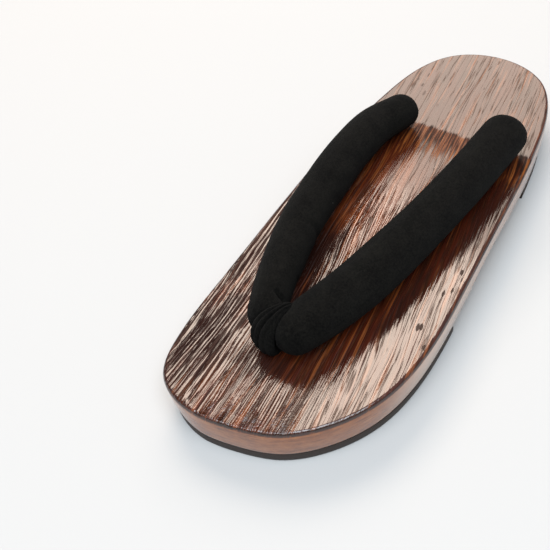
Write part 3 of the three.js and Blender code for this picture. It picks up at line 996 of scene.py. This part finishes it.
def tread_tree(material):
    """Puts a stud wherever a slanting grid lies under the flat of a pad, its edge left free."""
    tree, n, given, known = geometry_tree("Tread studs", STUDS)
    grid = n.new("GeometryNodeMeshGrid")
    count = n.math("DIVIDE", TREAD_REACH * MM, given["Row pitch"])
    for axis in "XY":
        n.feed(grid.inputs["Size " + axis], TREAD_REACH * MM)
        n.feed(grid.inputs["Vertices " + axis], count)
    box = n.new("GeometryNodeBoundBox")
    n.feed(box.inputs[0], given["Geometry"])
    centre = n.vmath("SCALE", n.vmath("ADD", box.outputs["Min"], box.outputs["Max"]), 0.5)
    centre_x, centre_y, _ = n.split(centre)
    slanted = n.new("GeometryNodeTransform")
    n.feed(slanted.inputs["Geometry"], grid.outputs[0])
    n.feed(slanted.inputs["Translation"], n.vec(centre_x, centre_y, -STUDS_BELOW * MM))
    n.feed(slanted.inputs["Rotation"], (0.0, 0.0, math.radians(TREAD_SLANT)))
    size = n.vmath("SUBTRACT", box.outputs["Max"], box.outputs["Min"])
    margin = n.mul(given["Edge margin"], -2.0)
    room = n.vmath("DIVIDE", n.vmath("ADD", size, n.vec(margin, margin, 0.0)), size)
    smaller = n.new("GeometryNodeTransform")
    n.feed(smaller.inputs["Geometry"], given["Geometry"])
    n.feed(smaller.inputs["Scale"], room)
    kept = n.vmath("MULTIPLY", centre, n.vmath("SUBTRACT", (1.0, 1.0, 1.0), room))
    n.feed(smaller.inputs["Translation"], kept)
    ray = n.new("GeometryNodeRaycast")
    n.feed(ray.inputs["Target Geometry"], smaller.outputs[0])
    n.feed(ray.inputs["Ray Direction"], (0.0, 0.0, 1.0))
    n.feed(ray.inputs["Ray Length"], STUD_RAY * MM)
    flat = n.math("GREATER_THAN", n.absolute(n.split(ray.outputs["Hit Normal"])[2]), 0.99)
    missed = n.new("FunctionNodeBooleanMath", operation="NOT")
    n.feed(missed.inputs[0], n.mul(ray.outputs["Is Hit"], flat))
    cut = n.new("GeometryNodeDeleteGeometry", domain="POINT")
    n.feed(cut.inputs["Geometry"], slanted.outputs[0])
    n.feed(cut.inputs["Selection"], missed.outputs[0])
    stud = n.new("GeometryNodeMeshCone")
    n.feed(stud.inputs["Vertices"], 4)
    n.feed(stud.inputs["Side Segments"], 1)
    half = n.mul(given["Stud width"], math.sqrt(0.5))
    n.feed(stud.inputs["Radius Bottom"], half)
    n.feed(stud.inputs["Radius Top"], n.mul(half, STUD_TAPER))
    n.feed(stud.inputs["Depth"], n.mul(given["Stud height"], STUD_SINK))
    put = n.new("GeometryNodeInstanceOnPoints")
    n.feed(put.inputs["Points"], cut.outputs[0])
    n.feed(put.inputs["Instance"], stud.outputs["Mesh"])
    n.feed(put.inputs["Rotation"], (math.pi, 0.0, math.radians(TREAD_SLANT + 45)))
    end_tree(n, put.outputs[0], material)
    return tree, known


def tread_studs(pad, tread):
    studs = show(pad.name + "_tread", pad.data.copy())
    shape_with(studs, "Tread", *tread, STUDS)
    lift = (STUDS_BELOW + STUD_HEIGHT * STUD_SINK) * MM
    write_places(studs.data, read_rows(studs.data, "co") + (0.0, 0.0, lift))
    return studs


def make_pad(name, node, start, end, rubber, tread):
    along = row_places(PAD_ROWS, (start, end))
    along = along[(along >= start - 1e-6) & (along <= end + 1e-6)]
    shell = Shell(along)
    rings = [
        shell.ring(inset, lambda x, along, level=level: np.full(len(x), level), END_DRAFT)
        for level, inset in PAD_WALL
    ]
    shell.wall(rings)
    shares = inner_shares(PAD_COLUMNS)
    top = shell.sheet(rings[0], shares, lambda x, along: PAD_TOP, True)
    low = shell.sheet(rings[-1], shares, lambda x, along: STUD_HEIGHT, False)
    facing, j = (1, -1) if shell.toe else (-1, 0)
    shell.end(rings, top[j], low[j], facing)
    piece = shell.piece(name, rubber)
    worn = piece.modifiers.new("Worn edges", "BEVEL")
    worn.width = PAD_WEAR * MM
    worn.segments = 2
    worn.limit_method = "ANGLE"
    worn.angle_limit = math.radians(PAD_WORN_ANGLE)
    settle(piece)
    join_into(piece, tread_studs(piece, tread))
    smooth(piece, PAD_SHARP)
    finish_piece(piece, "sole_rubber", node)


# Swept cloth

CAP_RINGS = 7


def row_curve(rows, count):
    """Smooth values of a table along its whole run."""
    table = np.array(rows, dtype=float)
    gap = np.linalg.norm(np.diff(table[:, :3], axis=0), axis=1)
    knots = np.concatenate([[0], np.cumsum(gap)])
    slopes = np.zeros_like(table)
    ahead = (table[2:] - table[1:-1]) / gap[1:, None]
    behind = (table[1:-1] - table[:-2]) / gap[:-1, None]
    weight = gap[1:] + gap[:-1]
    slopes[1:-1] = (ahead * gap[:-1, None] + behind * gap[1:, None]) / weight[:, None]
    slopes[0] = (table[1] - table[0]) / gap[0]
    slopes[-1] = (table[-1] - table[-2]) / gap[-1]
    s = np.linspace(0, knots[-1], count)
    i = np.clip(np.searchsorted(knots, s, side="right") - 1, 0, len(gap) - 1)
    share = ((s - knots[i]) / gap[i])[:, None]
    return s, hermite(table[i], table[i + 1], slopes[i], slopes[i + 1], gap[i][:, None], share)


def run_frames(rows, count, side, heart=None):
    """Places, centres, directions and section sizes along a swept piece, in millimetres.

    A piece with a heart turns its back to it; any other lies level, but for its rows' roll."""
    s, value = row_curve(rows, count)
    centre = np.stack([value[:, 1], value[:, 0] - HALF_LENGTH, top_height(value[:, 0]) + value[:, 2]], axis=1)
    along = np.gradient(centre, axis=0)
    along /= np.linalg.norm(along, axis=1)[:, None]
    if heart is not None:
        high = centre - np.array(heart)
        high -= (high * along).sum(axis=1)[:, None] * along
        high /= np.linalg.norm(high, axis=1)[:, None]
        return s, centre, along, np.cross(along, high), -high, value[:, 3], value[:, 4]
    level = np.cross([0.0, 0.0, 1.0], along)
    level /= np.linalg.norm(level, axis=1)[:, None]
    angle = np.radians(value[:, 5]) * side
    wide = level * np.cos(angle)[:, None] + np.cross(along, level) * np.sin(angle)[:, None]
    return s, centre, along, wide, np.cross(wide, along), value[:, 3], value[:, 4]


def tube(frames, sides, caps, shrink=0.0, shape=None, blunt=2.0):
    """Closed tube round a run, with rounded ends, as vertices and faces."""
    s, centre, along, wide, high, half_wide, half_high = frames
    reaches = [math.sin(c / (CAP_RINGS + 0.5) * math.pi / 2) for c in range(1, CAP_RINGS + 1)]
    last = len(s) - 1
    stations = [(0, -a * (caps[0] - shrink), (1 - a**2) ** 0.5) for a in reversed(reaches)]
    stations += [(i, 0.0, 1.0) for i in range(len(s))]
    stations += [(last, a * (caps[1] - shrink), (1 - a**blunt) ** (1 / blunt)) for a in reaches]
    verts = []
    for i, push, scale in stations:
        middle = centre[i] + along[i] * push
        for turn in np.linspace(0, 2 * math.pi, sides, endpoint=False):
            grow = shape(s[i] + push, turn) if shape else 0.0
            w = (half_wide[i] - shrink + grow) * scale * math.cos(turn)
            h = (half_high[i] - shrink + grow) * scale * math.sin(turn)
            verts.append(middle + wide[i] * w - high[i] * h)
    faces = []
    for r in range(len(stations) - 1):
        for k in range(sides):
            a = r * sides + k
            b = r * sides + (k + 1) % sides
            faces.append((a, b, b + sides, a + sides))
    first = len(verts)
    verts.append(centre[0] - along[0] * (caps[0] - shrink))
    verts.append(centre[last] + along[last] * (caps[1] - shrink))
    end = (len(stations) - 1) * sides
    for k in range(sides):
        faces.append(((k + 1) % sides, k, first))
        faces.append((end + k, end + (k + 1) % sides, first + 1))
    return [tuple(v * MM for v in p) for p in verts], faces


# Straps

LIMB_STATIONS = 70
LIMB_SIDES = 40
LIMB_RADIUS = 10.0
SWELL_ROOM = 0.3
VOXEL = 1.6
LEAST_GAP = 0.6
STRAP_CORD_SIDES = 32
# Creases in the sandal's own place: points in millimetres, then depth and width, with a ridge
# where the depth is negative
CREASES = [
    ([(-2.6, -75.2, 36.5), (-4.2, -74.5, 39.2), (-6.3, -74.6, 41.6), (-8.2, -74.2, 43.0)], 3.8, 1.0),
    ([(-7.0, -78.0, 40.0), (-11.0, -77.4, 43.4)], -0.6, 2.2),
    ([(-9.5, -59.0, 33.0), (-12.0, -60.5, 40.0), (-16.0, -62.5, 44.0)], 1.1, 1.6),
    ([(-15.5, -33.0, 33.0), (-18.0, -34.0, 40.0), (-22.0, -36.0, 44.0)], 0.9, 2.0),
    ([(-20.5, -12.0, 36.0), (-24.0, -16.0, 43.0)], 0.5, 2.4),
    ([(-2.0, -72.0, 36.0), (1.0, -75.0, 42.5), (3.0, -80.0, 44.5)], 0.7, 1.6),
]
# The cloth is simulated at a larger scale, where the solver is steady
SIM_SCALE = 20.0
SIM_STEPS = 20
LEAST_SWELL = 0.3
MOST_SWELL = 0.9
SLIDE_SHARE = 0.5
# distance from the toe tip where the straps are held, and how far the hold reaches
GRIPS = [(44, 10), (190, 9)]
LOOP_FRAMES = run_frames(TOE_LOOP, 60, 1, LOOP_HEART)
# Room that the limbs leave beside and under the loop, how far along it a vertex may be from its
# nearest station, and how much deeper than the loop they sink
LOOP_ROOM = (0.7, 0.1)
LOOP_NEAR = 2.5
LOOP_SINK = 0.6
NOTCH_END_Y = -68.0
# The point that the cloth sinks towards: behind the vertex, and above the wood
CORE_BEHIND = 6.0
CORE_LIFT = 10.0


def crease(points, normals, line, depth, width):
    """A soft trough along a line of places, deepest at its first point."""
    path = np.array(line, dtype=float)
    best = np.full(len(points), 1e9)
    where = np.zeros(len(points))
    run = 0.0
    total = sum(np.linalg.norm(b - a) for a, b in zip(path[:-1], path[1:]))
    for a, b in zip(path[:-1], path[1:]):
        d = b - a
        length = np.linalg.norm(d)
        t = np.clip(((points - a) @ d) / length**2, 0, 1)
        away = np.linalg.norm(points - (a + t[:, None] * d), axis=1)
        near = away < best
        best = np.where(near, away, best)
        where = np.where(near, (run + t * length) / total, where)
        run += length
    fade = 1 - 0.6 * where
    return points - normals * (depth * fade * np.exp(-((best / width) ** 2)))[:, None]


def swell(piece):
    """Cloth pressure fills the padded limbs, held where the loop and the ends grip them."""
    start = read_rows(piece.data, "co")
    write_places(piece.data, start * SIM_SCALE)
    grip = piece.vertex_groups.new(name="grip")
    for i, along in enumerate(start[:, 1] / MM + HALF_LENGTH):
        hold = max(1 - abs(along - place) / reach for place, reach in GRIPS)
        if hold > 0:
            grip.add([i], hold, "REPLACE")
    rules = piece.modifiers.new("Cloth", "CLOTH").settings
    rules.quality = 4
    rules.mass = 0.03
    rules.tension_stiffness = 3
    rules.compression_stiffness = 3
    rules.shear_stiffness = 1.5
    rules.bending_stiffness = 0.2
    rules.use_pressure = True
    rules.uniform_pressure_force = 4
    rules.effector_weights.gravity = 0
    rules.vertex_group_mass = "grip"
    for step in range(1, SIM_STEPS + 1):
        bpy.context.scene.frame_set(step)
    blown = evaluated_mesh(piece)
    move = read_rows(blown, "co") / SIM_SCALE - start
    bpy.data.meshes.remove(blown)
    piece.modifiers.clear()
    bpy.context.scene.frame_set(1)
    outward = read_rows(piece.data, "normal")
    rise = (move * outward).sum(axis=1)
    wanted = np.clip(rise, LEAST_SWELL * MM, MOST_SWELL * MM)
    slide = move - outward * rise[:, None]
    piece.vertex_groups.clear()
    write_places(piece.data, start + slide * SLIDE_SHARE + outward * wanted[:, None])


def under_loop(points):
    """The limbs give way under the toe loop, so that it sits in them."""
    _, centre, along, wide, high, half_wide, half_high = LOOP_FRAMES
    room_wide, room_high = half_wide + LOOP_ROOM[0], half_high + LOOP_ROOM[1]
    sunk = points.copy()
    for i in np.where(points[:, 1] < NOTCH_END_Y)[0]:
        gap = points[i] - centre
        k = int(np.argmin(np.linalg.norm(gap, axis=1)))
        far = math.hypot(gap[k] @ wide[k] / room_wide[k], gap[k] @ high[k] / room_high[k])
        if far < 1 and abs(gap[k] @ along[k]) < LOOP_NEAR:
            x, y, _ = points[i]
            core = np.array([x, y + CORE_BEHIND, top_height(y + HALF_LENGTH) + CORE_LIFT])
            inward = core - points[i]
            inward /= max(np.linalg.norm(inward), 1e-6)
            sunk[i] += inward * ((1 - far) * room_high[k] + LOOP_SINK)
    return sunk


def lay_cloth(piece, lay):
    """Keeps the millimetres along and round the cloth at each vertex, for the weave."""
    field = piece.data.attributes.new("lay", "FLOAT_VECTOR", "POINT")
    field.data.foreach_set("vector", lay.ravel())


def limb_lay(piece, runs):
    points = read_rows(piece.data, "co") / MM
    count = len(points)
    lay = np.zeros((count, 3))
    best = np.full(count, 1e9)
    for s, centre, along, wide, high, *_ in runs:
        for k in range(len(s)):
            gap = points - centre[k]
            away = np.linalg.norm(gap, axis=1)
            near = away < best
            round_limb = np.arctan2(gap @ wide[k], gap @ high[k]) * LIMB_RADIUS
            place = np.stack([s[k] + gap @ along[k], round_limb, np.zeros(count)], axis=1)
            lay[near] = place[near]
            best[near] = away[near]
    return lay


def make_straps(cloth):
    verts, faces, runs = [], [], []
    for rows, side, rear_cap, blunt in LIMBS:
        frames = run_frames(rows, LIMB_STATIONS, side)
        more, extra = tube(frames, LIMB_SIDES, (LIMB_CAP, rear_cap), SWELL_ROOM, blunt=blunt)
        faces += [tuple(i + len(verts) for i in face) for face in extra]
        verts += more
        runs.append(frames)
    straps = from_lists("straps_dressed", verts, faces, cloth)
    fuse = straps.modifiers.new("Remesh", "REMESH")
    fuse.mode = "VOXEL"
    fuse.voxel_size = VOXEL * MM
    settle(straps)
    swell(straps)
    finer = straps.modifiers.new("Subdivision", "SUBSURF")
    finer.levels = 1
    finer.render_levels = 1
    settle(straps)
    points = read_rows(straps.data, "co") / MM
    normals = read_rows(straps.data, "normal")
    for line, depth, width in CREASES:
        points = crease(points, normals, line, depth, width)
    points = under_loop(points)
    points[:, 2] = np.maximum(points[:, 2], top_height(points[:, 1] + HALF_LENGTH) + LEAST_GAP)
    write_places(straps.data, points * MM)
    lay_cloth(straps, limb_lay(straps, runs))
    add_cords(straps, REAR_CORDS, STRAP_CORD_SIDES)
    straps.data.materials.clear()
    straps.data.materials.append(cloth)
    smooth(straps)
    finish_piece(straps, "strap_cloth", "straps")


# Toe loop

LOOP_STATIONS = 130
LOOP_SIDES = 120
LOOP_CAP = 2.4
LOOP_FULLNESS = 0.35
# Millimetres of weave between two stations, and between two sides
LOOP_LAY = (0.3, 0.25)
LOOP_CORD_SIDES = 40
# place across the loop at the notch, half way and at the foot, then depth and width of the fold
PLEATS = [
    (0.30, 0.56, 0.64, 1.30, 0.11),
    (-0.25, 0.00, 0.32, 1.90, 0.12),
    (-0.80, -0.60, -0.34, 0.60, 0.12),
]


def pleat(share, turn):
    """Growth of the loop's section: folds on its outer face, fading out towards both ends."""
    out = math.sin(turn)
    if out <= 0:
        return 0.0
    sink = 0.0
    for notch, middle, foot, depth, width in PLEATS:
        line = middle + (foot - middle) * max(0.0, share - 0.5) * 2
        line += (notch - middle) * max(0.0, 0.5 - share) * 2
        sink += depth * math.exp(-(((math.cos(turn) - line) / width) ** 2))
    fade = min(1.0, share * 2.6) * min(1.0, (1 - share) * 6)
    return (LOOP_FULLNESS - sink) * fade * min(1.0, out * 1.8)


def make_loop(cloth):
    frames = run_frames(TOE_LOOP, LOOP_STATIONS, 1, LOOP_HEART)
    total = frames[0][-1]
    verts, faces = tube(
        frames,
        LOOP_SIDES,
        (LOOP_CAP, LOOP_CAP),
        shape=lambda place, turn: pleat(min(max(place / total, 0.0), 1.0), turn),
    )
    loop = from_lists("toe_loop_dressed", verts, faces, cloth)
    add_cords(loop, [FRONT_CORD], LOOP_CORD_SIDES)
    station, side = np.divmod(np.arange(len(loop.data.vertices)), LOOP_SIDES)
    lay_cloth(loop, np.stack([station * LOOP_LAY[0], side * LOOP_LAY[1], np.zeros(len(side))], axis=1))
    smooth(loop)
    finish_piece(loop, "strap_cloth", "toe_loop")


# Stage, light and camera, the stage and the lamps in metres

FLOOR_HALF = 9.0
FLOOR_GREY = 0.48
WARM = (1.0, 0.83, 0.69)
COOL = (0.86, 0.94, 1.0)
BOX_RUN = (0.15, 0.72, -0.33)
UPRIGHT = (0.0, 0.0, 1.0)
# name, place, aim, width and height, watts, direction of the height, colour
SOFTBOXES = [
    ("high_softbox", (-0.66, 0.57, 1.17), (-0.01, -0.06, 0.02), (0.7, 0.64), 13.4, BOX_RUN, WARM),
    ("low_softbox", (-0.52, 1.10, 0.96), (0.0, 0.06, 0.02), (0.7, 0.58), 5.3, BOX_RUN, WARM),
    ("fill_softbox", (0.6, -0.8, 2.3), (0.0, 0.0, 0.02), (2.2, 1.8), 96.0, UPRIGHT, COOL),
]
STUDIO_WHITE = 0.36
# Place and aim of the camera in the sandal's millimetres, its tilt in degrees and its lens
CAMERA_PLACE = (173.4, -262.3, 332.1)
CAMERA_AIM = (-29.0, -51.7, 20.0)
CAMERA_TILT = -11.0
LENS = 62.19
SENSOR = 36.0


def make_floor():
    data = bpy.data.meshes.new("floor")
    corners = [(sx * FLOOR_HALF, sy * FLOOR_HALF, 0.0) for sx, sy in ((-1, -1), (1, -1), (1, 1), (-1, 1))]
    data.from_pydata(corners, [], [(0, 1, 2, 3)])
    material, n, shader = new_material("pale_floor")
    n.feed(shader.inputs["Base Color"], rgba((FLOOR_GREY,) * 3))
    set_plain(shader, {"Roughness": 0.9, "Specular IOR Level": 0.1})
    data.materials.append(material)
    show("floor", data)


def put_facing(name, data, place, right, back):
    """Puts a lamp or camera at a place, with its right side and its back where they are given."""
    thing = bpy.data.objects.new(name, data)
    turn = Matrix((right, back.cross(right), back)).transposed().to_4x4()
    thing.matrix_world = Matrix.Translation(place) @ turn
    bpy.context.scene.collection.objects.link(thing)
    return thing


def make_softbox(name, place, aim, size, power, run, colour):
    light = bpy.data.lights.new(name, "AREA")
    light.shape = "RECTANGLE"
    light.size, light.size_y = size
    light.energy = power
    light.color = colour
    back = (Vector(place) - Vector(aim)).normalized()
    put_facing(name, light, Vector(place), Vector(run).cross(back).normalized(), back)


def make_camera():
    lens = bpy.data.cameras.new("camera")
    lens.sensor_width = SENSOR
    lens.lens = LENS
    lens.clip_start = 0.01
    place, aim = Vector(CAMERA_PLACE) * MM, Vector(CAMERA_AIM) * MM
    back = (place - aim).normalized()
    level = Vector(UPRIGHT).cross(back).normalized()
    right = Matrix.Rotation(math.radians(CAMERA_TILT), 3, back) @ level
    bpy.context.scene.camera = put_facing("camera", lens, place, right, back)


def make_studio():
    world = bpy.data.worlds.new("studio")
    world.use_nodes = True
    shine = world.node_tree.nodes["Background"].inputs
    shine[0].default_value = (1.0, 1.0, 1.0, 1.0)
    shine[1].default_value = STUDIO_WHITE
    bpy.context.scene.world = world
    bpy.context.scene.view_settings.view_transform = "Standard"


rubber = sole_rubber()
cloth = strap_cloth()
tread = tread_tree(rubber)
make_base(lacquered_wood(), arch_wood())
make_pad("forefoot_pad_dressed", "forefoot_pad", PLAN.low, FOREFOOT_PAD_END, rubber, tread)
make_pad("heel_pad_dressed", "heel_pad", HEEL_PAD_START, PLAN.high, rubber, tread)
make_straps(cloth)
make_loop(cloth)
make_floor()
for softbox in SOFTBOXES:
    make_softbox(*softbox)
make_studio()
make_camera()
